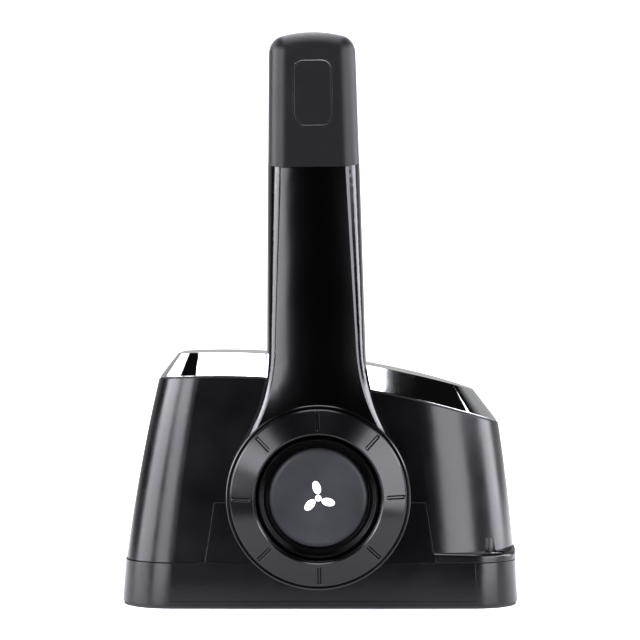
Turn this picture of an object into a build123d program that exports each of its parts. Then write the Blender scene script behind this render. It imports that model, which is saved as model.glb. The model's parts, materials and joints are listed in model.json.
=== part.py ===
from build123d import *
import os
from collections import namedtuple
from math import acos, atan2, cos, degrees, pi, radians, sin, sqrt, tan

# A boat's engine control head: a housing that stands on a console, with one lever on its
# port side that works throttle and shift through a gear and a crank inside.
#
# Frame: the origin is the centre of the four mounting holes, on the console's surface.
# +X points to the stern, +Y to starboard and +Z up, so the lever is on the -Y side and
# swings to -X for ahead. All sizes are in millimetres.

# ---------------------------------------------------------------- driving dimensions

GAP = 0.15            # clearance between two fixed parts that lie beside each other
RUN = 0.05            # radial clearance of a shaft or pin that turns in its bore

# Base and shell. An Outline is a rounded rectangle in plan at height z: bow and stern are
# its X limits, half is half its width, r_bow and r_stern are its corner radii.
Outline = namedtuple("Outline", "z bow stern half r_bow r_stern")
GASKET_T = 1.5
RIM_TOP = 22.0        # top of the base rim
RIM_LOW = Outline(0.0, -97.0, 100.3, 52.4, 25.0, 22.0)
RIM_HIGH = Outline(RIM_TOP, -95.5, 99.3, 51.6, 25.0, 21.0)
SHELL_LOW = Outline(RIM_TOP + 0.3, -95.2, 99.0, 51.0, 25.0, 44.5)
SHELL_MIDDLE = Outline(76.0, -86.6, 93.0, 46.5, 22.5, 42.5)
SHELL_HIGH = Outline(130.0, -74.5, 83.4, 42.0, 20.0, 40.0)
STERN_R = 267.0       # the stern is slightly round in plan
WALL = 2.8            # shell and rim wall
FLOOR_TOP = 5.5       # top of the base floor

# The seam under the top cover is a cylinder along Y, and so is the cover's top.
CROWN_X = -49.2
CROWN_Z = 112.2
CROWN_R = 420.0
SEAL_T = 0.8          # gasket in the seam
CAP_H = 11.6          # height of the top cover above the seam
CAP_SLOPE = 0.77      # how far its sides lean in, per millimetre of height
CAP_WALL = 2.4

# Lever hub and shaft
HUB_Z = 56.0
LEAN = -0.8           # the lever's lean towards the bow in neutral, in degrees
HUB_R = 44.5          # lever casting at the hub, at its back
ARM_BACK = -54.0      # Y of the casting's back face
ARM_FACE = -72.0      # Y of its front face
DRAFT_IN = 1.6        # how much smaller its outline is at the front
RING_R = 43.9
BEZEL_R = 30.2        # inner edge of the index ring
BUTTON_R = 23.6
BUTTON_FACE = -76.0
SHAFT_R = 6.0
BOSS_R = 16.0         # the lever's boss that enters the housing
SHAFT_HOLE_R = 19.0   # hole in shell and cover around that boss

# Arm and grip, as heights above the hub
FLARE_H = 70.0        # where the arm starts to flare to the hub
ARM_HALF = 23.8       # half width of the arm there
ARM_TOP_HALF = 22.0
ARM_TOP_H = 157.0     # where the grip starts, at the arm's front
GRIP_TOP_H = 222.3
GRIP_CROWN_R = 55.0   # its top is round across
GRIP_CORNER_R = 9.0   # its top corners, seen from the front
GRIP_EDGE_R = 8.8     # edges round its two ends
GRIP_FACE = -73.2     # Y of the grip's outer end
GRIP_BACK = -52.0     # Y of the back of its upright part
GRIP_INNER = 18.0     # Y of its inner end
GRIP_HALF = 22.05     # half width at its foot
GRIP_TOP_HALF = 20.6
GRIP_FOOT_H = 150.0   # where its blank starts, below the slanted edge
GRIP_UNDER_H = 180.0  # underside of the part that the hand holds
SEAM_RISE = 0.28      # the grip's lower edge climbs towards the back
PLUG_W, PLUG_H, PLUG_R, PLUG_UP = 18.0, 30.6, 4.8, 192.2

# Drive train
MODULE = 1.7
TEETH_DRIVE, TEETH_SHIFT = 18, 36
SHIFT_X = MODULE * (TEETH_DRIVE + TEETH_SHIFT) / 2
GEAR_W = 8.0
PLATE_T = 4.0
PORT_PLATE_Y = -38.0  # outer face of the port frame plate
STAR_PLATE_Y = 34.0   # outer face of the starboard frame plate
CRANK_R = 30.0        # throttle crank, shaft to cable pin
SHIFT_ARM_R = 32.0
CABLE_HOLE_R = 2.4    # 3/16 inch terminal pin
ARM_T = 5.0

# Mounting and fasteners
MOUNT_X, MOUNT_Y = 150.0, 74.0
MOUNT_HOLE_R = 3.3
M3, M4, M5, M6 = 1.5, 2.0, 2.5, 3.0   # radii


# ---------------------------------------------------------------- helpers

def upright(sketch, y):
    """Stands a sketch drawn as (x, z) at y. Its normal points to -Y."""
    return Pos(0, y, 0) * (Plane.XZ * sketch)


def along_y(sketch, y0, y1):
    """Extrudes a sketch drawn as (x, z) from y0 to y1."""
    return extrude(upright(sketch, max(y0, y1)), amount=abs(y1 - y0))


def rod_y(radius, y0, y1, x=0.0, z=0.0):
    """A cylinder along Y."""
    return Pos(x, (y0 + y1) / 2, z) * Rot(90, 0, 0) * Cylinder(radius, abs(y1 - y0))


def rod_x(radius, x0, x1, y=0.0, z=0.0):
    """A cylinder along X."""
    return Pos((x0 + x1) / 2, y, z) * Rot(0, 90, 0) * Cylinder(radius, abs(x1 - x0))


def rod_z(radius, z0, z1, x=0.0, y=0.0):
    """A cylinder along Z."""
    return Pos(x, y, (z0 + z1) / 2) * Cylinder(radius, abs(z1 - z0))


def block(x0, x1, y0, y1, z0, z1):
    """A box between two corners."""
    centre = Pos((x0 + x1) / 2, (y0 + y1) / 2, (z0 + z1) / 2)
    return centre * Box(abs(x1 - x0), abs(y1 - y0), abs(z1 - z0))


def turned_y(points, x=0.0, z=0.0):
    """Revolves a profile of (radius, y) points about a line along Y through (x, z)."""
    profile = make_face(Polyline(*points, close=True))
    return Pos(x, 0, z) * revolve(profile, Axis.Y)


def polygon_y(points, y0, y1):
    """A prism along Y with corners given as (x, z)."""
    return along_y(make_face(Polyline(*points, close=True)), y0, y1)


def polygon_x(points, x0, x1):
    """A prism along X with corners given as (y, z)."""
    face = Plane.YZ * make_face(Polyline(*points, close=True))
    return Pos(x0, 0, 0) * extrude(face, amount=x1 - x0)


def screw_z(radius, head_r, head_h, z_head, length, x, y):
    """A pan head screw pointing down, with its head on z_head and a hex socket."""
    body = rod_z(radius, z_head - length, z_head, x, y)
    head = rod_z(head_r, z_head, z_head + head_h, x, y)
    socket = Pos(x, y, z_head + head_h * 0.45) * extrude(RegularPolygon(head_r * 0.5, 6), head_h)
    return body + head - socket


def screw_up(radius, head_r, head_h, z_head, length, x, y):
    """The same screw pointing up, with the back of its head on z_head."""
    return Pos(0, 0, 2 * z_head) * Rot(180, 0, 0) * screw_z(radius, head_r, head_h, z_head, length, x, -y)


def solids_of(*parts):
    """Several separate solids in one node."""
    return Compound([solid for part in parts for solid in part.solids()])


# ---------------------------------------------------------------- outlines and shells

def between(low, high, z):
    """The outline at height z on the straight line from one outline to another."""
    t = (z - low.z) / (high.z - low.z)
    return Outline(z, *(a + t * (b - a) for a, b in zip(low[1:], high[1:])))


def shell_at(z):
    """The shell's outline at height z, on a parabola through its three outlines."""
    low, middle, high = SHELL_LOW, SHELL_MIDDLE, SHELL_HIGH
    a = (z - middle.z) * (z - high.z) / ((low.z - middle.z) * (low.z - high.z))
    b = (z - low.z) * (z - high.z) / ((middle.z - low.z) * (middle.z - high.z))
    c = (z - low.z) * (z - middle.z) / ((high.z - low.z) * (high.z - middle.z))
    sizes = [a * p + b * q + c * r for p, q, r in zip(low[1:], middle[1:], high[1:])]
    return Outline(z, *sizes)


def stern_corner_x(o):
    """X of the centre of an outline's stern corners."""
    return o.stern - STERN_R + sqrt((STERN_R - o.r_stern) ** 2 - (o.half - o.r_stern) ** 2)


def shrunk(o, by):
    """The outline moved inwards by a wall's thickness."""
    return Outline(o.z, o.bow + by, o.stern - by, o.half - by, o.r_bow - by, o.r_stern - by)


def outline_face(o):
    """The outline as a flat face."""
    box = Pos((o.bow + o.stern) / 2, 0) * Rectangle(o.stern - o.bow, 2 * o.half)
    face = box & (Pos(o.stern - STERN_R, 0) * Rot(0, 0, 180) * Circle(STERN_R))
    face = fillet(face.vertices().group_by(Axis.X)[0], o.r_bow)
    face = fillet(face.vertices().group_by(Axis.X)[-1], o.r_stern)
    return Pos(0, 0, o.z) * face


def frustum(low, high):
    """The solid between two outlines."""
    return loft([outline_face(low), outline_face(high)], ruled=True)


def crown(radius_step):
    """Everything under the seam's cylinder, moved outwards by radius_step."""
    return rod_y(CROWN_R + radius_step, -80, 80, CROWN_X, CROWN_Z - CROWN_R)


def seam_z(x, step=0.0):
    """Height of the seam's cylinder at x."""
    return CROWN_Z - CROWN_R + sqrt((CROWN_R + step) ** 2 - (x - CROWN_X) ** 2)


def shell_solid(inset, z0):
    """The solid inside the shell's outlines, moved inwards, from z0 up."""
    steps = [z0 + (SHELL_HIGH.z - z0) * i / 4 for i in range(5)]
    return loft([outline_face(shrunk(shell_at(z), inset)) for z in steps])


SHELL_OUT = shell_solid(0.0, SHELL_LOW.z)
SHELL_IN = shell_solid(WALL, 0.0)
RIM_OUT = frustum(RIM_LOW, RIM_HIGH)
RIM_IN = frustum(shrunk(RIM_LOW, WALL), shrunk(between(RIM_LOW, RIM_HIGH, 40.0), WALL))


def stern_corner(r):
    """Centre of the rim's port stern corner and its outward diagonal point."""
    cx, cy = stern_corner_x(RIM_HIGH), -(RIM_HIGH.half - RIM_HIGH.r_stern)
    return cx + r * cos(pi / 4), cy - r * sin(pi / 4)


SCREW_X, SCREW_Y = stern_corner(14.6)   # the screw in each stern ledge
LEDGE_EDGE_Z = 26.2                     # height of the ledge's outer edge
LEDGE_SLOPE = 2.0                       # degrees that it climbs towards the shell
LEDGE_ROUND = 1.8                       # radius of its outer edge


def stern_ledges():
    """The shelf at each stern corner, with a soft outer edge, that holds a housing screw."""
    prism = frustum(RIM_HIGH._replace(z=SHELL_LOW.z), RIM_HIGH._replace(z=40.0))
    corner = prism & block(45, 110, -60, -2, 20, 45)
    ex, ey = stern_corner(RIM_HIGH.r_stern)
    cutter = Pos(0, 0, 30) * Box(200, 200, 60)
    cutter = Pos(ex, ey, LEDGE_EDGE_Z) * Rot(0, 0, -45) * Rot(0, LEDGE_SLOPE, 0) * cutter
    ledge = corner - cutter
    top = ledge.faces().sort_by(Axis.Z)[-1]
    outer = [e for e in top.edges()
             if e.bounding_box().max.X > 45.5 and e.bounding_box().min.Y < -2.5]
    ledge = fillet(outer, LEDGE_ROUND)
    return ledge + mirror(ledge, Plane.XZ)


# ---------------------------------------------------------------- base group

PANEL_LOW = [(-72.4, -1), (-71.6, RIM_TOP + 1), (76.2, RIM_TOP + 1), (77.3, -1)]
PANEL_HIGH = [(-55.4, RIM_TOP - 1), (-50.9, 51.2), (52.5, 51.2), (57.0, RIM_TOP - 1)]


def scaled_panel(points, by):
    """A panel outline moved inwards by a gap on its sides and top."""
    mid = sum(x for x, z in points) / len(points)
    top = max(z for x, z in points)
    return [
        (x + (by if x < mid else -by), z - (by if z == top else 0.0)) for x, z in points
    ]


WELL = (-38.0, 84.0, -24.0, 20.0)       # cable well through the floor: x0, x1, y0, y1


def mount_points():
    """The four mounting holes, in plan."""
    return [(sx * MOUNT_X / 2, sy * MOUNT_Y / 2) for sx in (-1, 1) for sy in (-1, 1)]


def make_mounting_gasket():
    """Rubber gasket between the base and the console."""
    sheet = frustum(shrunk(RIM_LOW, 0.8), shrunk(RIM_LOW._replace(z=GASKET_T - 0.05), 0.8))
    x0, x1, y0, y1 = WELL
    sheet -= block(x0, x1, y0, y1, -1, 3)
    for x, y in mount_points():
        sheet -= rod_z(MOUNT_HOLE_R, -1, 3, x, y)
    for x, y, _ in base_screw_points():
        sheet -= rod_z(4.6, -1, 3, x, y)
    return sheet


def base_screw_points():
    """Places of the screws that hold the housing: x, y and the screw's direction."""
    return [
        (SCREW_X, SCREW_Y, "down"),
        (SCREW_X, -SCREW_Y, "down"),
        (-84.0, -22.0, "up"),
        (-84.0, 22.0, "up"),
    ]


def foot_screw_points():
    """Screws that hold the two frame plates to the floor."""
    return [(x, y) for x in (-46.0, 46.0) for y in (-29.5, 25.5)]


def make_base_frame():
    """Base: rim, floor and the screw posts."""
    rim = RIM_OUT & block(-120, 120, -70, 70, GASKET_T, RIM_TOP)
    rim -= RIM_IN & block(-120, 120, -70, 70, FLOOR_TOP, 45)
    for y0, y1 in ((-60, -48.6), (48.6, 60)):
        rim -= polygon_y(PANEL_LOW, y0, y1) & block(-120, 120, -70, 70, GASKET_T + 2.2, 30)
    x0, x1, y0, y1 = WELL
    rim -= block(x0, x1, y0, y1, -1, 10)
    for x, y in mount_points():
        rim += rod_z(7.0, FLOOR_TOP - 1, FLOOR_TOP + 2.5, x, y)
        rim -= rod_z(MOUNT_HOLE_R, -1, 20, x, y)
    for x, y, way in base_screw_points():
        if way == "down":
            rim += rod_z(4.4, FLOOR_TOP - 1, RIM_TOP - 0.2, x, y)
        else:
            rim -= rod_z(4.2, -1, GASKET_T + 2.4, x, y)
        rim -= rod_z(M4 + 0.15, -1, 30, x, y)
    for x, y in foot_screw_points():
        rim -= rod_z(M4, -1, 20, x, y)
    for x, y, _ in anchor_screw_points()[2:]:
        rim -= rod_z(M3, -1, 20, x, y)
    return rim


def make_access_cover():
    """The stepped side panel on the port side, with a notch for the lever's boss."""
    upper = (SHELL_OUT - SHELL_IN) & polygon_y(scaled_panel(PANEL_HIGH, GAP), -60, -30)
    upper -= block(-120, 120, -70, 0, -10, RIM_TOP + 0.3)
    lower = RIM_OUT - RIM_IN
    lower &= polygon_y(scaled_panel(PANEL_LOW, GAP), -60, -40)
    lower &= block(-120, 120, -70, 0, GASKET_T + 2.2 + GAP, RIM_TOP)
    rib = block(-50, 50, -49.6, -46.4, RIM_TOP - 4, RIM_TOP + 5)
    cover = upper + lower + rib
    for side in (-1, 1):
        cover += block(45 * side, 53 * side, -48.5, -44.0, 29, 35)
        cover += block(45 * side, 59 * side, -45.8, -44.0, 29, 35)
    return cover - rod_y(SHAFT_HOLE_R, -70, -20, 0, HUB_Z)


def make_port_access_cover():
    """Access cover on the port side."""
    return make_access_cover()


def make_starboard_access_cover():
    """Access cover on the starboard side."""
    return mirror(make_access_cover(), Plane.XZ)


def make_main_housing():
    """Tapered housing, hollow, with its stern feet."""
    seam = crown(-0.4)
    body = (SHELL_OUT & seam) + stern_ledges()
    body -= SHELL_IN
    for side in (-1, 1):
        panel = polygon_y(PANEL_HIGH, 30 * side, 60 * side)
        body -= panel
        body -= rod_y(SHAFT_HOLE_R, 30 * side, 70 * side, 0, HUB_Z)
    for x, y, way in base_screw_points():
        if way == "down":
            body += rod_z(4.4, SHELL_LOW.z, SHELL_LOW.z + 4, x, y)
            body -= rod_z(M4 + 0.15, 0, 40, x, y)
            body -= rod_z(4.9, SHELL_LOW.z + 1.6, 33, x, y)
        else:
            body += rod_z(4.4, FLOOR_TOP + 0.2, 44, x, y)
            body += block(-93, x, y - 1.5, y + 1.5, SHELL_LOW.z, 44) & SHELL_OUT
            body -= rod_z(M4, 0, 34, x, y)
    for x, y in cap_screw_points():
        post = block(x - 4, x + 4, y, y + (16 if y > 0 else -16), seam_z(x) - 13, seam_z(x) - 6)
        body += post & SHELL_OUT
        body -= rod_z(M4 + 0.1, 60, 130, x, y + (2.5 if y > 0 else -2.5))
    return body


def cap_screw_points():
    """Screws that pull the top cover down from inside: x and inner y of each lug."""
    return [(x, y) for x in (-58.0, 40.0) for y in (-32.0, 32.0)]


def make_housing_stern_screws():
    """Screws in the counterbores of the two stern feet."""
    z_head = SHELL_LOW.z + 1.6
    screws = [
        screw_z(M4, 3.7, 1.9, z_head, 17.0, x, y)
        for x, y, way in base_screw_points() if way == "down"
    ]
    return solids_of(*screws)


def make_housing_bow_screws():
    """Screws that hold the housing at the bow."""
    z_head = GASKET_T + 2.4
    screws = [
        screw_up(M4, 3.7, 2.2, z_head, 22.0, x, y)
        for x, y, way in base_screw_points() if way == "up"
    ]
    return solids_of(*screws)


# ---------------------------------------------------------------- top cover group

def outline_points(count):
    """Points round the shell at the seam with their inward normals, one list per side or
    corner: (x, y, nx, ny, seam height)."""
    runs = []
    for part in range(8):
        run = []
        for i in range(count + 1):
            z = CROWN_Z - 5
            for _ in range(6):
                point = outline_point(shell_at(z), part, i / count)
                z = seam_z(point[0])
            run.append((*point, z))
        runs.append(run)
    return runs


def outline_point(o, part, t):
    """A point on an outline: part 0 is the port side, 1 the port stern corner, and so on
    round by stern, starboard and bow."""
    yc_s, yc_b = o.half - o.r_stern, o.half - o.r_bow
    xs, xb = stern_corner_x(o), o.bow + o.r_bow
    if part == 0:
        return xb + t * (xs - xb), -o.half, 0.0, 1.0
    if part == 2:
        return xs + o.r_stern, -yc_s + 2 * t * yc_s, -1.0, 0.0
    if part == 4:
        return xs + t * (xb - xs), o.half, 0.0, -1.0
    if part == 6:
        return o.bow, yc_b - 2 * t * yc_b, 1.0, 0.0
    cx, cy, r, start = {
        1: (xs, -yc_s, o.r_stern, -90.0),
        3: (xs, yc_s, o.r_stern, 0.0),
        5: (xb, yc_b, o.r_bow, 90.0),
        7: (xb, -yc_b, o.r_bow, 180.0),
    }[part]
    a = radians(start + 90.0 * t)
    return cx + r * cos(a), cy + r * sin(a), -cos(a), -sin(a)


def cap_prism(inset):
    """The top cover's leaning sides as a tall solid, moved inwards by inset."""
    faces = []
    for z in (82.0, 125.0):
        edges = []
        for run in outline_points(6):
            pts = []
            for x, y, nx, ny, s in run:
                step = inset + CAP_SLOPE * (z - s)
                pts.append((x + nx * step, y + ny * step))
            edges.append(Spline(*pts))
        faces.append(Pos(0, 0, z) * make_face(Curve() + edges))
    return loft(faces, ruled=True)


def make_top_cover():
    """Chrome cap over the housing."""
    outer = (cap_prism(0.0) & crown(CAP_H)) - crown(SEAL_T / 2 + 0.05)
    inner = cap_prism(CAP_WALL) & crown(CAP_H - CAP_WALL)
    cover = outer - inner
    for x, y in cap_screw_points():
        side = 1 if y > 0 else -1
        boss_y = y + 2.5 * side
        post = rod_z(3.6, seam_z(x) - 5.9, seam_z(x) + CAP_H, x, boss_y) & crown(CAP_H - 1)
        cover += post & (cap_prism(1.0) + rod_z(3.6, 60, seam_z(x) + 3, x, boss_y))
        cover -= rod_z(M4 - 0.4, seam_z(x) - 8, seam_z(x) + 5, x, boss_y)
    return cover


def make_top_cover_gasket():
    """The black strip between shell and top cover, set back to leave a shadow line."""
    strip = shell_solid(0.6, SHELL_LOW.z) - shell_solid(WALL, SHELL_LOW.z)
    return (strip & crown(SEAL_T / 2)) - crown(-SEAL_T / 2 + 0.05)


def make_top_cover_screws():
    """Screws that hold the cap from inside."""
    screws = []
    for x, y in cap_screw_points():
        side = 1 if y > 0 else -1
        z_head = seam_z(x) - 13
        screws.append(screw_up(M4 - 0.5, 3.2, 2.0, z_head, 16.0, x, y + 2.5 * side))
    return solids_of(*screws)


# ---------------------------------------------------------------- inner frame group

SPACERS = [(-52.0, 20.0), (52.0, 18.0), (-44.0, 84.0), (6.0, 91.0)]
PLATE_POINTS = [
    (-58, FLOOR_TOP), (58, FLOOR_TOP), (60, 30), (60, 66), (50, 79), (16, 97),
    (0, 97), (-46, 92), (-56, 82), (-60, 28),
]


def frame_plate(outer_y, foot_side):
    """A cast side plate with bearing bores and a foot flange."""
    inner_y = outer_y + PLATE_T * foot_side
    plate = polygon_y(PLATE_POINTS, outer_y, inner_y)
    window = [(-46, 30), (-24, 26), (-24, 44), (-34, 66), (-46, 66)]
    plate -= polygon_y(window, -60, 60)
    y_foot = inner_y + 9.0 * foot_side
    plate += block(-54, 54, inner_y, y_foot, FLOOR_TOP, FLOOR_TOP + 3.5)
    plate += rod_y(12.0, inner_y, inner_y + 2.5 * foot_side, 0, HUB_Z)
    plate -= rod_y(8.0, -60, 60, 0, HUB_Z)
    plate -= rod_y(5.0 + GAP / 3, -60, 60, SHIFT_X, HUB_Z)
    for x, z in SPACERS:
        plate -= rod_y(M5 + 0.1, -60, 60, x, z)
    for x, y in foot_screw_points():
        if (y < 0) == (outer_y < 0):
            plate -= rod_z(M4 + 0.15, 0, 15, x, y)
    for x, y, z in anchor_screw_points()[:2]:
        plate -= rod_z(M3, 0, 15, x, y)
    return plate


def make_port_frame_plate():
    """Frame plate on the port side."""
    return frame_plate(PORT_PLATE_Y, 1)


def make_starboard_frame_plate():
    """Frame plate on the starboard side."""
    return frame_plate(STAR_PLATE_Y, -1)


def make_frame_spacers():
    """Spacers and tie bolts between the frame plates."""
    y0, y1 = PORT_PLATE_Y + PLATE_T, STAR_PLATE_Y - PLATE_T
    tubes = [rod_y(4.8, y0, y1, x, z) - rod_y(M5 + 0.1, y0, y1, x, z) for x, z in SPACERS]
    return solids_of(*tubes)


def make_frame_tie_bolts():
    """A through bolt with a hex head and a nut at each spacer."""
    parts = []
    head = RegularPolygon(4.6, 6)
    y_nut = STAR_PLATE_Y
    for x, z in SPACERS:
        bolt = rod_y(M5, PORT_PLATE_Y - 0.5, y_nut + 5.0, x, z)
        bolt += Pos(x, 0, z) * along_y(head, PORT_PLATE_Y - 3.4, PORT_PLATE_Y)
        nut = Pos(x, 0, z) * along_y(head, y_nut, y_nut + 3.8) - rod_y(M5, 0, 60, x, z)
        parts += [bolt, nut]
    return solids_of(*parts)


def make_frame_foot_screws():
    """Screws through the feet of the frame plates."""
    z_head = FLOOR_TOP + 3.5
    return solids_of(*[screw_z(M4, 3.5, 2.4, z_head, 7.4, x, y) for x, y in foot_screw_points()])


def bush(outer_y, side):
    """A flanged bearing bush in a frame plate, flange outside."""
    inner_y = outer_y + (PLATE_T + 2.5) * side
    flange_y = outer_y - 1.5 * side
    body = rod_y(8.0 - 0.02, outer_y, inner_y, 0, HUB_Z)
    body += rod_y(10.5, flange_y, outer_y, 0, HUB_Z)
    return body - rod_y(SHAFT_R + RUN, -60, 60, 0, HUB_Z)


def make_port_shaft_bush():
    """Bronze bush of the main shaft in the port plate."""
    return bush(PORT_PLATE_Y, 1)


def make_starboard_shaft_bush():
    """Bronze bush of the main shaft in the starboard plate."""
    return bush(STAR_PLATE_Y, -1)


def make_shift_spindle():
    """Fixed spindle of the shift gear, headed to port and grooved for its clip."""
    y_end = STAR_PLATE_Y + 3.2
    pin = rod_y(5.0, PORT_PLATE_Y, y_end, SHIFT_X, HUB_Z)
    pin += rod_y(7.0, PORT_PLATE_Y - 2.0, PORT_PLATE_Y, SHIFT_X, HUB_Z)
    groove = rod_y(6.0, y_end - 2.4, y_end - 1.2, SHIFT_X, HUB_Z)
    groove -= rod_y(4.1, y_end - 2.4, y_end - 1.2, SHIFT_X, HUB_Z)
    return pin - groove


def make_spindle_clip():
    """Clip that keeps the shift gear on its spindle."""
    y_end = STAR_PLATE_Y + 3.2
    clip = rod_y(7.4, y_end - 2.3, y_end - 1.3, SHIFT_X, HUB_Z)
    clip -= rod_y(4.1 + 0.02, 0, 60, SHIFT_X, HUB_Z)
    return clip - block(SHIFT_X - 3.2, SHIFT_X + 3.2, 30, 60, HUB_Z, HUB_Z + 10)


# ---------------------------------------------------------------- gears

def roll(base_r, r):
    """Involute function at radius r, in radians."""
    pressure = acos(min(1.0, base_r / r))
    return tan(pressure) - pressure


def involute_gear(teeth, y0, y1, first_angle, backlash):
    """A stub-tooth spur gear about Y at the origin, with one tooth centred on
    first_angle, measured from +X towards +Z."""
    pitch_r = MODULE * teeth / 2
    base_r = pitch_r * cos(radians(20))
    tip_r, root_r = pitch_r + 0.8 * MODULE, pitch_r - 1.05 * MODULE
    half_pitch = pi / (2 * teeth) - backlash / (2 * pitch_r)
    flank = []
    for i in range(6):
        r = max(base_r, root_r) + (tip_r - max(base_r, root_r)) * i / 5
        flank.append((r, half_pitch + roll(base_r, pitch_r) - roll(base_r, r)))
    side = [(root_r, flank[0][1])] + flank if root_r < base_r else flank
    points = []
    for k in range(teeth):
        middle = radians(first_angle) + 2 * pi * k / teeth
        points += [(r * cos(middle - a), r * sin(middle - a)) for r, a in side]
        points += [(r * cos(middle + a), r * sin(middle + a)) for r, a in reversed(side)]
    return polygon_y(points, y0, y1)


def make_drive_gear():
    """Gear on the main shaft. A gap between teeth faces the shift gear."""
    gear = involute_gear(TEETH_DRIVE, -GEAR_W / 2, GEAR_W / 2, 180.0 / TEETH_DRIVE, 0.12)
    gear += rod_y(10.0, GEAR_W / 2, GEAR_W / 2 + 4)
    return Pos(0, 0, HUB_Z) * (gear - rod_y(SHAFT_R, -20, 20))


def make_shift_gear():
    """Gear sector that turns half as fast, on a sleeve that carries the shift arm."""
    gear = involute_gear(TEETH_SHIFT, -GEAR_W / 2, GEAR_W / 2, 180.0, 0.12)
    reach = 1.2 * MODULE * TEETH_SHIFT / 2
    keep = make_face(Polyline((4, 0), (-reach * 0.55, reach), (-reach, reach), (-reach, -reach),
                              (-reach * 0.55, -reach), close=True))
    sector = gear & along_y(keep, -10, 10)
    sector += rod_y(9.5, -GEAR_W / 2, GEAR_W / 2)
    for angle in (150.0, 180.0, 210.0):
        x, z = 19.0 * cos(radians(angle)), 19.0 * sin(radians(angle))
        sector -= rod_y(4.0, -10, 10, x, z)
    sector += rod_y(7.5, GEAR_W / 2, 12.0)
    return Pos(SHIFT_X, 0, HUB_Z) * (sector - rod_y(5.0 + RUN, -30, 30))


def arm_link(length, y0, y1, bore, direction):
    """A flat lever from the origin to a cable hole at length, pointing along direction."""
    angle = radians(direction)
    x, z = length * cos(angle), length * sin(angle)
    hub = rod_y(bore + 4.0, y0, y1)
    tip = rod_y(5.2, y0, y1, x, z)
    nx, nz = -sin(angle), cos(angle)
    web = polygon_y([(nx * 7, nz * 7), (x + nx * 4.6, z + nz * 4.6),
                     (x - nx * 4.6, z - nz * 4.6), (-nx * 7, -nz * 7)], y0, y1)
    return hub + tip + web - rod_y(bore, y0 - 1, y1 + 1) - rod_y(CABLE_HOLE_R, y0 - 1, y1 + 1, x, z)


def make_shift_arm():
    """Shift crank, keyed on the gear's sleeve, level in neutral."""
    arm = arm_link(SHIFT_ARM_R, 12.05, 12.05 + ARM_T, 5.0 + RUN, 0.0)
    return Pos(SHIFT_X, 0, HUB_Z) * arm


def make_throttle_crank():
    """Throttle crank on the main shaft, at dead centre in neutral, so that it pulls the
    same way ahead and astern."""
    arm = arm_link(CRANK_R, 12.05, 12.05 + ARM_T, SHAFT_R, -90.0)
    return Pos(0, 0, HUB_Z) * arm


# ---------------------------------------------------------------- detent, brake, switch

DETENT_R = 19.0
DETENT_Y = (-16.0, -11.0)


def make_detent_cam():
    """Disc with a notch for neutral, ahead and astern."""
    y0, y1 = DETENT_Y
    cam = rod_y(DETENT_R, y0, y1) + rod_y(10.0, y1, -GEAR_W / 2 - 0.05)
    for angle in (60.0, 90.0, 120.0):
        a = radians(angle)
        x, z = (DETENT_R + 0.9) * cos(a), (DETENT_R + 0.9) * sin(a)
        cam -= rod_y(3.1, y0 - 1, y1 + 1, x, z)
    return Pos(0, 0, HUB_Z) * (cam - rod_y(SHAFT_R, -30, 10))


def make_detent_spring():
    """Leaf spring with a rolled nose that sits in the neutral notch."""
    y0, y1 = DETENT_Y[0] + 0.4, DETENT_Y[1] - 0.4
    nose_z = HUB_Z + DETENT_R + 0.9
    nose = rod_y(2.9, y0, y1, 0, nose_z) - rod_y(2.0, y0, y1, 0, nose_z)
    leaf = polygon_y([(0, nose_z + 2.0), (-30, 83.1), (-36, 83.1), (-36, 84.0), (-30, 84.0),
                      (0, nose_z + 2.9)], y0, y1)
    return nose + leaf - rod_z(1.4, 80, 90, -33.5, (y0 + y1) / 2)


def make_detent_bracket():
    """Saddle on the upper bow spacer that the leaf spring is screwed to."""
    x, z = SPACERS[2]
    y0, y1 = DETENT_Y[0] - 2, DETENT_Y[1] + 2
    saddle = block(x - 7, x + 7, y0, y1, z - 7, z + 5.5)
    saddle += block(x + 6, -30, y0, y1, 79.0, 83.0)
    saddle -= rod_y(4.85, -40, 40, x, z)
    return saddle - rod_z(1.25, 70, 90, -33.5, (y0 + y1) / 2)


def make_detent_screw():
    """Screw of the detent spring."""
    y = sum(DETENT_Y) / 2
    return screw_z(1.25, 1.9, 1.6, 84.05, 4.6, -33.5, y)


def make_brake_drum():
    """Drum on the main shaft that the friction shoe rubs on."""
    drum = rod_y(16.0, 20.0, 26.0) - rod_y(SHAFT_R, 10, 30)
    return Pos(0, 0, HUB_Z) * drum


def make_brake_shoe():
    """Nylon block that rubs on the drum; the friction screw presses it."""
    shoe = block(-24.0, -12.0, 20.4, 25.6, HUB_Z - 8, HUB_Z + 8)
    return shoe - rod_y(16.12, 10, 30, 0, HUB_Z)


def make_brake_bracket():
    """Bracket on the starboard plate that guides the shoe and holds the screw."""
    y_in = STAR_PLATE_Y - PLATE_T
    bracket = block(-42.0, -36.2, 17.4, y_in, HUB_Z - 9, HUB_Z + 9)
    bracket += block(-42.0, -18.0, 26.0, y_in, HUB_Z - 9, HUB_Z + 9)
    bracket -= rod_x(M6 + RUN, -50, -30, 23.0, HUB_Z)
    return bracket - rod_y(17.0, 20, 31, 0, HUB_Z)


def make_friction_screw():
    """Adjuster for the lever's drag, with a hex socket in its head."""
    screw = rod_x(M6, -48.0, -24.1, 23.0, HUB_Z) + rod_x(5.0, -53.0, -48.0, 23.0, HUB_Z)
    socket = Pos(-54.0, 23.0, HUB_Z) * Rot(0, 90, 0) * extrude(RegularPolygon(2.9, 6), 4.0)
    return screw - socket


SWITCH_Y = (-28.0, -22.0)


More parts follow.
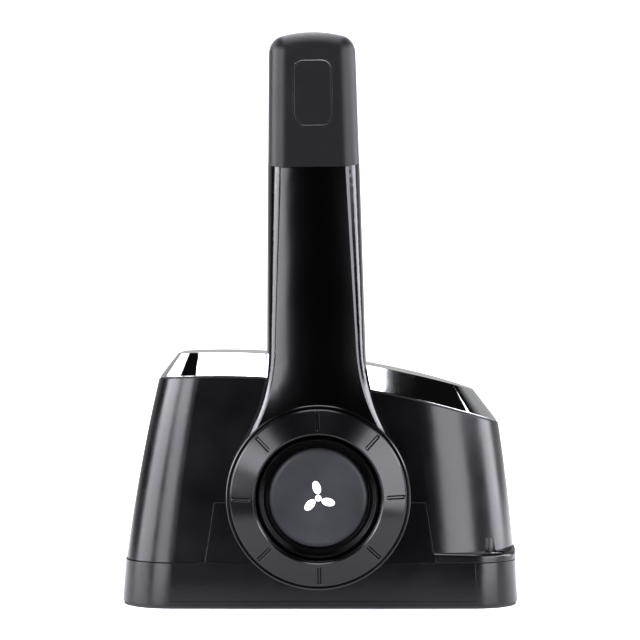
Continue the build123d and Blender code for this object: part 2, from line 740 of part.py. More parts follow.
def make_switch_cam():
    """Cam whose lobe holds the start switch closed in neutral only."""
    y0, y1 = SWITCH_Y
    cam = rod_y(13.0, y0, y1) + rod_y(3.0, y0, y1, 0, -12.6)
    cam += rod_y(9.0, y1, DETENT_Y[0] - 0.05)
    return Pos(0, 0, HUB_Z) * (cam - rod_y(SHAFT_R, -30, -10))


def make_neutral_switch():
    """Start-in-neutral microswitch with two blade terminals."""
    y0, y1 = SWITCH_Y[0] - 0.2, SWITCH_Y[1] + 0.2
    body = block(-10.5, 9.5, y0, y1, 26.0, 36.4)
    body -= rod_y(1.55, -40, 0, -6.0, 29.0)
    body -= rod_y(1.55, -40, 0, 5.0, 29.0)
    for x in (-7.5, 5.5):
        body += block(x, x + 3.2, -25.4, -24.6, 18.5, 26.5)
    return body + block(-1.2, 1.2, -26.0, -24.0, 36.0, 39.3)


def make_switch_leaf():
    """Spring leaf of the start-in-neutral switch."""
    y0, y1 = SWITCH_Y[0] + 1, SWITCH_Y[1] - 1
    return polygon_y([(-9.5, 36.45), (-9.5, 38.4), (5.0, 41.0), (5.0, 40.5), (-9.0, 38.0),
                      (-9.0, 36.45)], y0, y1)


def make_switch_screws():
    """Two screws that hold the switch to the port plate."""
    y_in = PORT_PLATE_Y + PLATE_T
    y_tip = SWITCH_Y[1] + 2.0
    screws = [
        rod_y(1.5, y_in, y_tip, x, 29.0) + rod_y(2.7, SWITCH_Y[1] + 0.3, y_tip, x, 29.0)
        for x in (-6.0, 5.0)
    ]
    sleeves = [
        rod_y(2.8, y_in, SWITCH_Y[0] - 0.25, x, 29.0) - rod_y(1.55, y_in, SWITCH_Y[0], x, 29.0)
        for x in (-6.0, 5.0)
    ]
    return solids_of(*screws, *sleeves)


CABLE_Y = 14.5
SHIFT_CABLE_X = SHIFT_X + SHIFT_ARM_R
FOOT_TOP = FLOOR_TOP + 3.5


def anchor_screw_points():
    """Screws of the throttle anchor, then of the shift anchor: x, y and the plate's foot."""
    return [
        (-7.5, 26.0, FOOT_TOP), (7.5, 26.0, FOOT_TOP),
        (SHIFT_CABLE_X - 12.0, 25.5, FLOOR_TOP), (SHIFT_CABLE_X, 25.5, FLOOR_TOP),
    ]


def cable_anchor(x, x0, x1, y1, z):
    """Clamp for a cable's conduit: a plate at height z with an open slot at x."""
    plate = block(x0, x1, CABLE_Y - 6.5, y1, z, z + 3.0)
    plate -= rod_z(4.3, 0, 20, x, CABLE_Y) + block(x - 3.4, x + 3.4, 0, CABLE_Y, 0, 20)
    for sx, sy, _ in anchor_screw_points():
        plate -= rod_z(M3 + 0.15, 0, 20, sx, sy)
    return plate


def make_throttle_cable_anchor():
    """Anchor for the throttle cable."""
    return cable_anchor(0.0, -12.0, 12.0, STAR_PLATE_Y - PLATE_T - GAP, FOOT_TOP)


def make_shift_cable_anchor():
    """Anchor for the shift cable."""
    x = SHIFT_CABLE_X
    return cable_anchor(x, x - 17.0, x + 7.0, 29.6, FLOOR_TOP)


def make_cable_anchor_screws():
    """Screws of both cable anchors."""
    return solids_of(*[
        screw_z(M3, 2.8, 2.0, z + 3.0, 6.2, x, y) for x, y, z in anchor_screw_points()
    ])


# ---------------------------------------------------------------- lever group

def on_lever(shape):
    """Moves a shape drawn about the hub, upright, to its place on the leaning lever."""
    return Pos(0, 0, HUB_Z) * Rot(0, LEAN, 0) * shape


def arm_face(inset):
    """The lever's front outline: a hub disc flaring into a tapered arm, moved inwards."""
    r, half, top_half = HUB_R - inset, ARM_HALF - inset, ARM_TOP_HALF - inset
    rho = (FLARE_H ** 2 - r ** 2 + half ** 2) / (2 * (r - half))
    cx = half + rho
    k = r / (r + rho)
    tx, tz = cx * k, FLARE_H * k
    middle = pi + acos((cx - tx) / rho) / 2
    mx, mz = cx + rho * cos(middle), FLARE_H + rho * sin(middle)
    end = ARM_TOP_H + 12
    lines = [
        ThreePointArc((tx, tz), (0, -r), (-tx, tz)),
        ThreePointArc((-tx, tz), (-mx, mz), (-half, FLARE_H)),
        Line((-half, FLARE_H), (-top_half, end)),
        Line((-top_half, end), (top_half, end)),
        Line((top_half, end), (half, FLARE_H)),
        ThreePointArc((half, FLARE_H), (mx, mz), (tx, tz)),
    ]
    return make_face(Curve() + lines)


def arm_half(h):
    """Half width of the lever at height h, above the hub's widest part."""
    if h >= FLARE_H:
        along = (h - FLARE_H) / (ARM_TOP_H + 12 - FLARE_H)
        return ARM_HALF + along * (ARM_TOP_HALF - ARM_HALF)
    rho = (FLARE_H ** 2 - HUB_R ** 2 + ARM_HALF ** 2) / (2 * (HUB_R - ARM_HALF))
    return ARM_HALF + rho - sqrt(rho ** 2 - (FLARE_H - h) ** 2)


# What trims the arm's front, from the ring to the grip: height, setback of the crowned
# front's edges, width and depth of the soft corners beside it. The last stretch is straight.
ARM_SECTIONS = [
    (29.0, 0.4, 3.3, 5.0), (38.0, 1.2, 3.5, 6.0), (48.0, 1.8, 3.8, 7.0),
    (60.0, 2.0, 4.1, 8.2), (FLARE_H, 1.9, 4.5, 9.2), (176.0, 1.3, 7.4, 14.5),
]


def arm_section(h, back, wide, deep):
    """The lever's front at height h: crowned, with soft corners."""
    y = ARM_FACE + 0.1
    side = arm_half(h) - 0.2
    front = side - wide
    bend = 0.5 * wide
    return Pos(0, 0, h) * make_face(Curve() + [
        ThreePointArc((-front, y + back), (0, y), (front, y + back)),
        Bezier((front, y + back), (front + bend, y + back + 0.3 * bend),
               (side, y + back + 0.45 * deep), (side, y + back + deep)),
        Line((side, y + back + deep), (side + 3, -40)),
        Line((side + 3, -40), (-side - 3, -40)),
        Line((-side - 3, -40), (-side, y + back + deep)),
        Bezier((-side, y + back + deep), (-side, y + back + 0.45 * deep),
               (-front - bend, y + back + 0.3 * bend), (-front, y + back)),
    ])


def arm_front_form():
    """What the lever's front is trimmed to, from the ring to the grip."""
    sections = [arm_section(*row) for row in ARM_SECTIONS]
    return loft(sections[:-1]) + loft(sections[-2:], ruled=True)


def seam_cut(offset):
    """Everything above the grip's slanted lower edge, moved up by offset."""
    z = ARM_TOP_H + offset
    y0, y1 = GRIP_FACE, 30.0
    return polygon_x([(y0 - 20, z - 20 * SEAM_RISE), (y1, z + (y1 - y0) * SEAM_RISE),
                      (y1, 400), (y0 - 20, 400)], -60, 60)


def make_lever_arm():
    """Cast lever: hub and arm, hollow at the back."""
    outlines = [upright(arm_face(0.0), ARM_BACK), upright(arm_face(DRAFT_IN), ARM_FACE)]
    arm = loft(outlines, ruled=True)
    arm = fillet(arm.faces().sort_by(Axis.Y)[0].edges(), 2.6)
    hub = arm & block(-60, 60, -80, -40, -60, ARM_SECTIONS[0][0])
    arm = hub + (arm & arm_front_form()) - seam_cut(-0.15)
    tang = block(-13, 13, -68, -58, ARM_TOP_H - 6, GRIP_TOP_H - 14)
    arm = arm + tang
    for h in GRIP_SCREW_H:
        arm -= rod_y(M3 + RUN, -66, -50, 0, h)
    arm += rod_y(BOSS_R, ARM_BACK, -46.5)
    arm -= rod_y(BEZEL_R, ARM_FACE - 5, -58.0)
    arm -= rod_y(SHAFT_R, -80, -40)
    arm -= along_y(Pos(0, 92) * RectangleRounded(26, 96, 8), ARM_BACK - 8, ARM_BACK + 1)
    return on_lever(arm)


def make_arm_back_cover():
    """Plate that closes the hollow back of the arm."""
    plate = Pos(0, 92) * RectangleRounded(26 - 2 * GAP, 96 - 2 * GAP, 8 - GAP)
    return on_lever(along_y(plate, ARM_BACK - 2.0, ARM_BACK))


def grip_profile():
    """The grip seen from the front: tapered, with a round top and rounded corners."""
    top = GRIP_TOP_H + 1
    face = make_face(Polyline((-GRIP_HALF, GRIP_FOOT_H), (GRIP_HALF, GRIP_FOOT_H),
                              (GRIP_TOP_HALF, top), (-GRIP_TOP_HALF, top), close=True))
    face &= Pos(0, GRIP_TOP_H - GRIP_CROWN_R) * Rot(0, 0, -90) * Circle(GRIP_CROWN_R)
    return fillet(face.vertices().group_by(Axis.Y)[-1], GRIP_CORNER_R)


def end_chain(solid, side):
    """The edges round one end of the grip's form, without the flat foot."""
    end = solid.faces().sort_by(Axis.Y)[side]
    return [e for e in end.edges() if e.bounding_box().max.Z > GRIP_FOOT_H + 1]


def grip_blank():
    """The grip's outer form: an upright part over the arm and a bar for the hand."""
    blank = along_y(grip_profile(), GRIP_FACE, GRIP_INNER)
    blank = fillet(end_chain(blank, 0), GRIP_EDGE_R)
    blank = fillet(end_chain(blank, -1), GRIP_EDGE_R)
    under = GRIP_UNDER_H
    hollow = make_face(
        Polyline((GRIP_BACK, 100), (GRIP_BACK, under), (60, under - 2.5), (60, 100), close=True)
    )
    inside_corner = hollow.vertices().sort_by_distance((GRIP_BACK, under))[0]
    hollow = Plane.YZ * fillet(inside_corner, 13.0)
    blank -= extrude(hollow, amount=60, both=True)
    edges = [e for e in blank.edges() if is_lower_edge(e.bounding_box())]
    return fillet(edges, 7.0)


def is_lower_edge(box):
    """True for the edges round the bar's underside and the upright part's back."""
    level = box.max.Z < GRIP_UNDER_H + 0.5
    behind = box.min.Y > GRIP_BACK - 0.1
    return level and behind and box.max.Z > GRIP_FOOT_H + 0.1


def make_grip():
    """Grip with its opening for a trim switch."""
    grip = grip_blank() & seam_cut(0.0)
    grip -= block(-13.1, 13.1, -68.1, -57.9, 140, GRIP_TOP_H - 13.9)
    recess = Pos(0, PLUG_UP) * RectangleRounded(PLUG_W + 0.6, PLUG_H + 0.6, PLUG_R + 0.3)
    grip -= along_y(recess, GRIP_FACE - 5, GRIP_FACE + 2.6)
    for h in GRIP_SCREW_H:
        grip -= rod_y(M3 + 0.15, -60, GRIP_BACK + 5, 0, h)
        grip -= rod_y(3.1, GRIP_BACK - 2.2, GRIP_BACK + 20, 0, h)
    return on_lever(grip)


GRIP_SCREW_H = (168.0, 178.0)


def make_grip_screws():
    """Screws through the grip's back into the tang of the arm."""
    y = GRIP_BACK - 2.2
    screws = [
        rod_y(M3, -65.0, y, 0, h) + rod_y(2.8, y, y + 2.0, 0, h)
        - Pos(0, 0, h) * along_y(RegularPolygon(1.4, 6), y + 0.9, y + 3)
        for h in GRIP_SCREW_H
    ]
    return on_lever(solids_of(*screws))


def make_trim_switch_blank():
    """Plug in the place of a trim switch."""
    plug = along_y(Pos(0, PLUG_UP) * RectangleRounded(PLUG_W, PLUG_H, PLUG_R),
                   GRIP_FACE + 0.1, GRIP_FACE + 2.5)
    plug = fillet(plug.faces().sort_by(Axis.Y)[0].edges(), 0.5)
    return on_lever(plug)


RING_PROFILE = [
    (BEZEL_R, ARM_FACE), (BEZEL_R, -80.3), (BEZEL_R + 0.7, -80.9), (41.3, -75.3),
    (41.9, -74.9), (42.1, -74.4), (42.1, -73.3), (42.4, -73.3), (42.8, -73.8),
    (43.4, -73.8), (RING_R, -73.3), (RING_R, -72.6), (43.3, ARM_FACE),
]
GROOVE_R = 36.8       # middle of the index grooves
GROOVE_LONG, GROOVE_WIDE, GROOVE_DEEP = 10.4, 2.0, 0.9
GROOVE_SIDE = 35.0    # how far their sides lean, in degrees


def make_index_ring():
    """Conical ring round the hub with eight index grooves."""
    ring = turned_y(RING_PROFILE)
    (r0, y0), (r1, y1) = RING_PROFILE[2:4]
    slope = atan2(y1 - y0, r1 - r0)
    middle = y0 + (GROOVE_R - r0) * tan(slope)
    slot = upright(SlotOverall(GROOVE_LONG, GROOVE_WIDE), -0.02)
    cutter = extrude(slot, amount=-GROOVE_DEEP, taper=GROOVE_SIDE)
    cutter = Pos(GROOVE_R, middle, 0) * Rot(0, 0, degrees(slope)) * cutter
    for k in range(8):
        ring -= Rot(0, 45 * k, 0) * cutter
    return on_lever(ring)


def make_button_bezel():
    """Black cup between ring and button, with a raised lip."""
    bezel = turned_y([
        (BEZEL_R - 0.1, -58.0), (BEZEL_R - 0.1, -77.6), (28.6, -75.6), (28.1, -77.2),
        (27.3, -77.2), (26.2, -74.0), (BUTTON_R + 0.6, -74.0), (BUTTON_R + 0.6, -60.0),
        (26.8, -60.0), (26.8, -58.0),
    ])
    return on_lever(bezel)


def make_main_shaft():
    """Hollow shaft from the hub's cavity to the starboard bearing."""
    shaft = rod_y(SHAFT_R, -67.0, STAR_PLATE_Y + 5.0)
    shaft -= rod_y(2.5 + RUN, -70.0, -8.0)
    groove_y = STAR_PLATE_Y + 1.7
    groove = rod_y(7.0, groove_y, groove_y + 1.2) - rod_y(5.0, groove_y, groove_y + 1.2)
    return on_lever(shaft - groove)


def make_shaft_clip():
    """Clip at the starboard end of the main shaft."""
    y = STAR_PLATE_Y + 1.75
    clip = rod_y(8.6, y, y + 1.1) - rod_y(5.02, 0, 60)
    return on_lever(clip - block(-4, 4, 30, 60, 0, 12))


def make_hub_washer():
    """Washer under the hub nut."""
    return on_lever(rod_y(11.0, -59.4, -58.05) - rod_y(SHAFT_R + RUN, -70, -50))


def make_hub_nut():
    """Nut that holds the lever on the main shaft."""
    nut = along_y(RegularPolygon(9.2, 6), -65.4, -59.4) - rod_y(SHAFT_R, -70, -50)
    return on_lever(nut)


def make_hub_seal():
    """Rubber lip ring that fills the gap round the lever's boss."""
    return turned_y([
        (BOSS_R + 0.25, -50.6), (SHAFT_HOLE_R - 0.05, -50.6), (SHAFT_HOLE_R - 0.05, -45.6),
        (BOSS_R + 0.9, -45.6), (BOSS_R + 0.9, -48.0), (BOSS_R + 0.25, -49.2),
    ], 0, HUB_Z)


def make_hub_hole_plug():
    """Cap in the unused shaft hole, flush on the leaning starboard wall."""
    plug = turned_y([
        (0, -3.4), (18.5, -3.4), (18.5, 0.06), (24.0, 0.06), (24.0, 1.2), (22.6, 2.4), (0, 3.2),
    ])
    lean = atan2(SHELL_LOW.half - SHELL_HIGH.half, SHELL_HIGH.z - SHELL_LOW.z)
    return Pos(0, shell_at(HUB_Z).half, HUB_Z) * Rot(degrees(lean), 0, 0) * plug


# ---------------------------------------------------------------- button group

def button_sign():
    """Propeller sign of the button, drawn flat: a hub and three blades."""
    sign = Circle(1.5)
    for k in range(3):
        sign += Rot(0, 0, 90 + 120 * k) * Pos(5.0, 0.7) * Rot(0, 0, 16) * Ellipse(3.2, 1.9)
    return sign


def make_warm_up_button():
    """Push button in the hub that frees the throttle from the shift."""
    cap = turned_y([
        (0, BUTTON_FACE), (21.4, BUTTON_FACE), (22.8, BUTTON_FACE + 0.7),
        (BUTTON_R, BUTTON_FACE + 2.4), (BUTTON_R, -66.0), (21.4, -66.0), (21.4, -72.6),
        (0, -72.6),
    ])
    return on_lever(cap - along_y(button_sign(), BUTTON_FACE - 1, BUTTON_FACE + 0.3))


def make_button_mark():
    """Inlay of the button's sign."""
    return on_lever(along_y(button_sign(), BUTTON_FACE - 0.05, BUTTON_FACE + 0.3))


def make_button_rod():
    """Rod that carries the button's stroke into the hollow shaft."""
    return on_lever(rod_y(2.5, -72.6, -30.0))


SPRING_MEAN_R, SPRING_WIRE_R = 14.2, 0.7


def make_button_spring():
    """Return spring between the hub's floor and the button."""
    y0, y1 = -58.75, -71.85
    turns = 4.0
    path = Helix(pitch=(y0 - y1) / turns, height=y0 - y1, radius=SPRING_MEAN_R)
    start = path @ 0
    wire = Plane(origin=start, z_dir=path % 0) * Circle(SPRING_WIRE_R)
    coil = sweep(wire, path=path, is_frenet=True)
    return on_lever(Pos(0, y0, 0) * Rot(90, 0, 0) * coil)


# ---------------------------------------------------------------- export

NODES = {
    "mounting_gasket": make_mounting_gasket,
    "base_frame": make_base_frame,
    "main_housing": make_main_housing,
    "port_access_cover": make_port_access_cover,
    "starboard_access_cover": make_starboard_access_cover,
    "hub_hole_plug": make_hub_hole_plug,
    "top_cover": make_top_cover,
    "top_cover_gasket": make_top_cover_gasket,
    "top_cover_screws": make_top_cover_screws,
    "housing_stern_screws": make_housing_stern_screws,
    "housing_bow_screws": make_housing_bow_screws,
    "port_frame_plate": make_port_frame_plate,
    "starboard_frame_plate": make_starboard_frame_plate,
    "frame_spacers": make_frame_spacers,
    "frame_tie_bolts": make_frame_tie_bolts,
    "frame_foot_screws": make_frame_foot_screws,
    "port_shaft_bush": make_port_shaft_bush,
    "starboard_shaft_bush": make_starboard_shaft_bush,
    "shift_spindle": make_shift_spindle,
    "spindle_clip": make_spindle_clip,
    "detent_spring": make_detent_spring,
    "detent_bracket": make_detent_bracket,
    "detent_screw": make_detent_screw,
    "brake_shoe": make_brake_shoe,
    "brake_bracket": make_brake_bracket,
    "friction_screw": make_friction_screw,
    "neutral_switch": make_neutral_switch,
    "switch_leaf": make_switch_leaf,
    "switch_screws": make_switch_screws,
    "throttle_cable_anchor": make_throttle_cable_anchor,
    "shift_cable_anchor": make_shift_cable_anchor,
    "cable_anchor_screws": make_cable_anchor_screws,
    "hub_seal": make_hub_seal,
    "lever_arm": make_lever_arm,
    "arm_back_cover": make_arm_back_cover,
    "grip": make_grip,
    "grip_screws": make_grip_screws,
    "trim_switch_blank": make_trim_switch_blank,
    "index_ring": make_index_ring,
    "button_bezel": make_button_bezel,
    "main_shaft": make_main_shaft,
    "shaft_clip": make_shaft_clip,
    "hub_washer": make_hub_washer,
    "hub_nut": make_hub_nut,
    "drive_gear": make_drive_gear,
    "throttle_crank": make_throttle_crank,
    "detent_cam": make_detent_cam,
    "switch_cam": make_switch_cam,
    "brake_drum": make_brake_drum,
    "warm_up_button": make_warm_up_button,
    "button_mark": make_button_mark,
    "button_rod": make_button_rod,
    "button_spring": make_button_spring,
    "shift_gear": make_shift_gear,
    "shift_arm": make_shift_arm,
}

os.makedirs("parts", exist_ok=True)
for node, make in NODES.items():
    export_step(make(), f"parts/{node}.step")
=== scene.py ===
import json
import math

import bpy
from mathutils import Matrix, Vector

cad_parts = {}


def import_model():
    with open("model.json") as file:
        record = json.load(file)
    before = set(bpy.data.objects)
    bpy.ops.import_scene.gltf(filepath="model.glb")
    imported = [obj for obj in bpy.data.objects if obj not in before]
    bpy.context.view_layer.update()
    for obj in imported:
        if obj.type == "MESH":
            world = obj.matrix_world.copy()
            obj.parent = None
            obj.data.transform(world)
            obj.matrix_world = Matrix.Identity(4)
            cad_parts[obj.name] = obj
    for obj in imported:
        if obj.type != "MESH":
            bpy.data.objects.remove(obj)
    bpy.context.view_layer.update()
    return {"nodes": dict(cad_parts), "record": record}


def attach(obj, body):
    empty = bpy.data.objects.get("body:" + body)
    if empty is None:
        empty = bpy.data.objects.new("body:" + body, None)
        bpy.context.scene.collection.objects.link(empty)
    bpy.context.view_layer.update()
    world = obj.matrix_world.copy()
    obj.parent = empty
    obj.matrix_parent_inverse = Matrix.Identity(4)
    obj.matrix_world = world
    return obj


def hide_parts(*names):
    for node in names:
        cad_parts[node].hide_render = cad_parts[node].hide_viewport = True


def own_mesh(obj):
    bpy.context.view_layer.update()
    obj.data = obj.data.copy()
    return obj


# A boat's engine control head on a pale studio floor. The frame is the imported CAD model:
# metres, +X to the stern, +Y to starboard, +Z up, with the lever on the -Y side.

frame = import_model()
NODES = frame["nodes"]
SCENE = bpy.context.scene
MM = 0.001
EDGE = 0.35 * MM     # how round a moulded or plated edge looks


# ---------------------------------------------------------------- material helpers

class Paint:
    """A node material with short ways to add and join nodes."""

    def __init__(self, name, colour, roughness, metallic=0.0, ior=1.5):
        self.material = bpy.data.materials.new(name)
        self.material.use_nodes = True
        self.tree = self.material.node_tree
        self.shader = self.tree.nodes["Principled BSDF"]
        self.set("Base Color", (*colour, 1.0))
        self.set("Roughness", roughness)
        self.set("Metallic", metallic)
        self.set("IOR", ior)
        coords = self.tree.nodes.new("ShaderNodeTexCoord")
        self.place = coords.outputs["Object"]

    def set(self, socket, value):
        """Gives a socket of the shader a fixed value."""
        self.shader.inputs[socket].default_value = value

    def join(self, out, socket):
        """Feeds a socket of the shader from a node."""
        self.tree.links.new(out, self.shader.inputs[socket])

    def noise(self, size, detail=3.0, rough=0.55, stretch=None):
        """Noise with features of about that size in metres. stretch squeezes the axes."""
        node = self.tree.nodes.new("ShaderNodeTexNoise")
        node.inputs["Scale"].default_value = 1.0 / size
        node.inputs["Detail"].default_value = detail
        node.inputs["Roughness"].default_value = rough
        source = self.place
        if stretch:
            mapping = self.tree.nodes.new("ShaderNodeMapping")
            mapping.inputs["Scale"].default_value = stretch
            self.tree.links.new(self.place, mapping.inputs["Vector"])
            source = mapping.outputs["Vector"]
        self.tree.links.new(source, node.inputs["Vector"])
        return node.outputs["Fac"]

    def cells(self, size):
        """Distance to the nearest of random points about that far apart."""
        node = self.tree.nodes.new("ShaderNodeTexVoronoi")
        node.inputs["Scale"].default_value = 1.0 / size
        self.tree.links.new(self.place, node.inputs["Vector"])
        return node.outputs["Distance"]

    def remap(self, value, low, high, from_low=0.35, from_high=0.65):
        """Maps a value's usual span to low..high."""
        node = self.tree.nodes.new("ShaderNodeMapRange")
        node.inputs["From Min"].default_value = from_low
        node.inputs["From Max"].default_value = from_high
        node.inputs["To Min"].default_value = low
        node.inputs["To Max"].default_value = high
        self.tree.links.new(value, node.inputs["Value"])
        return node.outputs["Result"]

    def tint(self, value, dark, light, from_low=0.35, from_high=0.65):
        """A colour between dark and light, by a value."""
        node = self.tree.nodes.new("ShaderNodeMix")
        node.data_type = "RGBA"
        self.tree.links.new(self.remap(value, 0.0, 1.0, from_low, from_high), node.inputs[0])
        node.inputs[6].default_value = (*dark, 1.0)
        node.inputs[7].default_value = (*light, 1.0)
        return node.outputs[2]

    def relief(self, heights):
        """Bumps from a list of (value, height in metres, strength), over slightly round edges."""
        bevel = self.tree.nodes.new("ShaderNodeBevel")
        bevel.samples = 6
        bevel.inputs["Radius"].default_value = EDGE
        normal = bevel.outputs["Normal"]
        for value, height, strength in heights:
            node = self.tree.nodes.new("ShaderNodeBump")
            node.inputs["Strength"].default_value = strength
            node.inputs["Distance"].default_value = height
            self.tree.links.new(value, node.inputs["Height"])
            self.tree.links.new(normal, node.inputs["Normal"])
            normal = node.outputs["Normal"]
        self.join(normal, "Normal")


def grained_plastic(name, colour, roughness, grain=0.55 * MM, depth=0.03 * MM, ior=1.5):
    """Moulded plastic with a fine spark-eroded grain and faint handling marks."""
    paint = Paint(name, colour, roughness, ior=ior)
    handled = paint.noise(22 * MM, detail=4.0)
    dark = [c * 0.86 for c in colour]
    light = [c * 1.16 for c in colour]
    paint.join(paint.tint(handled, dark, light), "Base Color")
    paint.join(paint.remap(handled, roughness * 0.9, roughness * 1.12), "Roughness")
    paint.relief([(paint.noise(grain, detail=2.0), depth, 0.5), (paint.cells(grain * 1.7), depth, 0.2)])
    return paint.material


def gloss_lacquer(name, colour, roughness, ior=1.5):
    """Semi-gloss lacquer over a cast part, with a faint orange peel."""
    paint = Paint(name, colour, roughness, ior=ior)
    peel = paint.noise(2.2 * MM, detail=2.0)
    haze = paint.noise(30 * MM, detail=4.0)
    paint.join(paint.remap(haze, roughness * 0.92, roughness * 1.08), "Roughness")
    paint.relief([(peel, 0.01 * MM, 0.1)])
    return paint.material


def bright_chrome(name):
    """Chrome plate with a trace of haze."""
    paint = Paint(name, (0.6, 0.605, 0.615), 0.045, metallic=1.0)
    haze = paint.noise(16 * MM, detail=5.0)
    paint.join(paint.remap(haze, 0.035, 0.065), "Roughness")
    paint.relief([(haze, 0.01 * MM, 0.05)])
    return paint.material


def machined(name, colour, roughness):
    """Metal with fine tool marks, close together along Y."""
    paint = Paint(name, colour, roughness, metallic=1.0)
    marks = paint.noise(3 * MM, detail=4.0, stretch=(1.0, 30.0, 1.0))
    paint.join(paint.remap(marks, roughness * 0.75, roughness * 1.3), "Roughness")
    paint.join(paint.tint(marks, [c * 0.85 for c in colour], colour), "Base Color")
    paint.relief([(marks, 0.01 * MM, 0.2)])
    return paint.material


def cast_metal(name, colour):
    """Cast aluminium with its pebbled skin."""
    paint = Paint(name, colour, 0.45, metallic=1.0)
    skin = paint.noise(0.9 * MM, detail=4.0)
    paint.join(paint.remap(skin, 0.38, 0.58), "Roughness")
    paint.relief([(skin, 0.06 * MM, 0.4)])
    return paint.material


def soft_touch(name, colour):
    """Rubbery paint of the grip: rough, with a fine sparkle and a little sheen."""
    paint = Paint(name, colour, 0.4, ior=1.31)
    fleck = paint.noise(0.5 * MM, detail=3.0, rough=0.7)
    worn = paint.noise(28 * MM, detail=4.0)
    paint.join(paint.tint(fleck, [c * 0.8 for c in colour], [c * 1.25 for c in colour]), "Base Color")
    paint.join(paint.remap(worn, 0.37, 0.43), "Roughness")
    paint.set("Sheen Weight", 0.9)
    paint.set("Sheen Roughness", 0.3)
    paint.relief([(paint.noise(0.6 * MM, detail=2.0), 0.05 * MM, 0.7)])
    return paint.material


MATERIALS = {
    "housing_black": grained_plastic("housing_plastic", (0.0016, 0.0016, 0.0019), 0.24, ior=1.42),
    "rubber_black": grained_plastic("seal_rubber", (0.004, 0.004, 0.004), 0.6, 0.6 * MM),
    "chrome": bright_chrome("chrome_plate"),
    "lever_black": gloss_lacquer("lever_lacquer", (0.0003, 0.0003, 0.0004), 0.15),
    "grip_grey": soft_touch("grip_soft_touch", (0.0032, 0.0032, 0.0037)),
    "ring_black": gloss_lacquer("ring_lacquer", (0.0006, 0.0006, 0.0007), 0.2, ior=1.42),
    "button_grey": grained_plastic("button_plastic", (0.0215, 0.022, 0.0243), 0.42, 0.25 * MM, ior=1.3),
    "mark_white": grained_plastic("mark_enamel", (0.8, 0.8, 0.8), 0.4, 0.4 * MM),
    "steel": machined("zinc_plate", (0.62, 0.62, 0.64), 0.32),
    "stainless": machined("stainless_steel", (0.72, 0.71, 0.7), 0.24),
    "gear_steel": machined("gear_steel", (0.4, 0.4, 0.42), 0.34),
    "frame_aluminium": cast_metal("cast_aluminium", (0.66, 0.67, 0.68)),
    "bush_bronze": machined("bush_bronze", (0.62, 0.42, 0.2), 0.38),
    "nylon_white": grained_plastic("nylon", (0.74, 0.73, 0.68), 0.42),
    "switch_black": grained_plastic("switch_phenolic", (0.02, 0.02, 0.022), 0.5),
}


def paint_nodes():
    """Gives each CAD node the material of its slot."""
    for part in frame["record"]["subparts"]:
        node = NODES[part["node"]]
        node.data.materials.clear()
        node.data.materials.append(MATERIALS[part["material_slot"]])


paint_nodes()


# ---------------------------------------------------------------- springs


def yielding(name, node, body):
    """A copy of a spring's node that rides on body, shown in place of the node."""
    source = NODES[node]
    piece = bpy.data.objects.new(name, source.data.copy())
    SCENE.collection.objects.link(piece)
    piece.matrix_world = source.matrix_world
    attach(piece, body)
    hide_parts(node)
    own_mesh(piece)


def springs():
    """The button's coil and the detent's leaf."""
    yielding("return_coil", "button_spring", "button")
    yielding("detent_leaf", "detent_spring", "base")


springs()


# ---------------------------------------------------------------- studio

EYE = Vector((0.00082, -1.052, 0.150))
LENS = 116.05             # millimetres, on a sensor 36 wide
FRAME_DROP = -0.03203     # the camera's shift, which puts the floor line where it belongs
HEART = Vector((0.0, -0.05, 0.12))     # what the lamps face
LAMP_DISTANCE = 1.2
COOL_WHITE = (0.93, 0.93, 1.0)
FLOOR_NEAR, FLOOR_FAR = -0.16, 4.0


def floor():
    """A white table that starts just ahead of the object, so that its low front stays dark.
    Behind the object it glows like the backdrop that it runs into."""
    white = Paint("studio_floor", (0.93, 0.93, 0.93), 0.75)
    split = white.tree.nodes.new("ShaderNodeSeparateXYZ")
    white.tree.links.new(white.place, split.inputs["Vector"])
    white.join(white.remap(split.outputs["Y"], 0.0, 1.1, 0.1, 0.7), "Emission Strength")
    white.set("Emission Color", (1.0, 1.0, 1.0, 1.0))
    mesh = bpy.data.meshes.new("studio_floor")
    near = [(-FLOOR_FAR, FLOOR_NEAR, 0), (FLOOR_FAR, FLOOR_NEAR, 0)]
    far = [(FLOOR_FAR, FLOOR_FAR, 0), (-FLOOR_FAR, FLOOR_FAR, 0)]
    mesh.from_pydata(near + far, [], [(0, 1, 2, 3)])
    mesh.materials.append(white.material)
    sheet = bpy.data.objects.new("studio_floor", mesh)
    SCENE.collection.objects.link(sheet)


def softbox(name, azimuth, width, low, high, radiance):
    """A rectangular lamp round the object. azimuth is in degrees from the camera's side,
    positive to the right; width is in degrees; low and high are heights in metres."""
    angle = math.radians(azimuth)
    middle = (low + high) / 2
    target = Vector((HEART.x, HEART.y, middle))
    place = target + LAMP_DISTANCE * Vector((math.sin(angle), -math.cos(angle), 0.0))
    side = 2 * LAMP_DISTANCE * math.tan(math.radians(width) / 2)
    lamp(name, place, target, side, high - low, radiance)


def lamp(name, place, target, width, height, radiance):
    """An area light of a given brightness at place that faces target."""
    light = bpy.data.lights.new(name, "AREA")
    light.shape = "RECTANGLE"
    light.size = width
    light.size_y = height
    light.color = COOL_WHITE
    light.energy = radiance * math.pi * width * height
    piece = bpy.data.objects.new(name, light)
    SCENE.collection.objects.link(piece)
    piece.location = place
    piece.rotation_euler = (target - place).to_track_quat("-Z", "Y").to_euler()


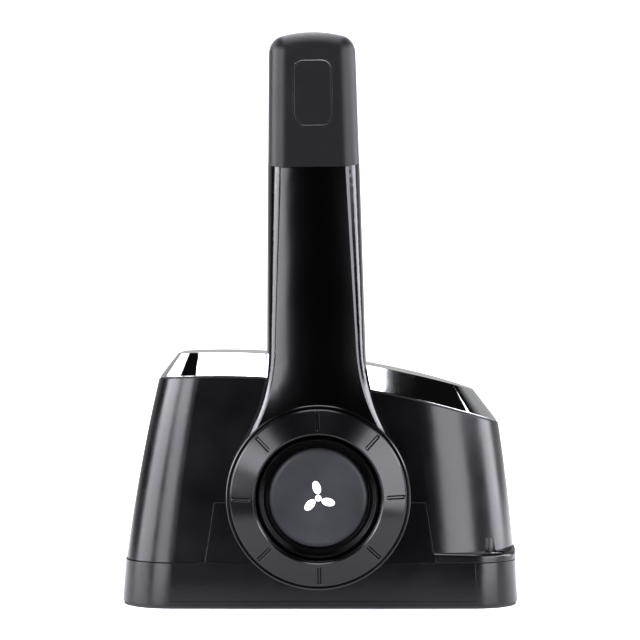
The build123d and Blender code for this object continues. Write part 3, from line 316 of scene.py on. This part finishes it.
def world():
    """A white backdrop. Reflections see it grey behind the object and dark elsewhere."""
    surround = bpy.data.worlds.new("studio")
    SCENE.world = surround
    surround.use_nodes = True
    tree = surround.node_tree
    coords = tree.nodes.new("ShaderNodeTexCoord")
    split = tree.nodes.new("ShaderNodeSeparateXYZ")
    tree.links.new(coords.outputs["Generated"], split.inputs["Vector"])

    def ramp(out, start, end):
        node = tree.nodes.new("ShaderNodeMapRange")
        node.inputs["From Min"].default_value = start
        node.inputs["From Max"].default_value = end
        tree.links.new(out, node.inputs["Value"])
        return node.outputs["Result"]

    behind = ramp(split.outputs["Y"], 0.5, 0.7)
    below_top = ramp(split.outputs["Z"], 0.62, 0.5)
    both = tree.nodes.new("ShaderNodeMath")
    both.operation = "MULTIPLY"
    tree.links.new(behind, both.inputs[0])
    tree.links.new(below_top, both.inputs[1])
    glow = tree.nodes.new("ShaderNodeMapRange")
    glow.inputs["To Min"].default_value = 0.01
    glow.inputs["To Max"].default_value = 0.55
    tree.links.new(both.outputs[0], glow.inputs["Value"])
    path = tree.nodes.new("ShaderNodeLightPath")
    seen = tree.nodes.new("ShaderNodeMath")
    seen.operation = "ADD"
    tree.links.new(path.outputs["Is Camera Ray"], seen.inputs[0])
    tree.links.new(glow.outputs["Result"], seen.inputs[1])
    tree.links.new(seen.outputs[0], tree.nodes["Background"].inputs["Color"])


def camera():
    """A long lens at the lever's side, level, a little above the hub."""
    data = bpy.data.cameras.new("camera")
    data.sensor_width = 36.0
    data.lens = LENS
    data.shift_y = FRAME_DROP
    eye = bpy.data.objects.new("camera", data)
    SCENE.collection.objects.link(eye)
    eye.location = EYE
    eye.rotation_euler = (math.radians(90.0), 0.0, 0.0)
    SCENE.camera = eye


def lights():
    """Softboxes at both sides, two more at the grip's height, and one overhead."""
    softbox("left_front", -34, 31, -0.2, 1.0, 8.5)
    softbox("left_side", -80, 40, 0.0, 1.0, 10.0)
    softbox("left_high", -112, 50, 0.75, 1.7, 3.0)
    softbox("right_front", 46, 40, -0.2, 1.0, 10.0)
    softbox("right_side", 109, 24, 0.0, 0.95, 9.0)
    softbox("left_grip", -60, 76, 0.34, 0.7, 8.0)
    softbox("right_grip", 82, 34, 0.36, 0.8, 14.0)
    above = Vector((-0.01, -0.05, 1.05))
    lamp("overhead", above, Vector((above.x, above.y, 0.0)), 0.49, 1.1, 9.0)


SCENE.view_settings.view_transform = "Standard"
SCENE.view_settings.gamma = 0.85     # deep blacks
floor()
world()
lights()
camera()
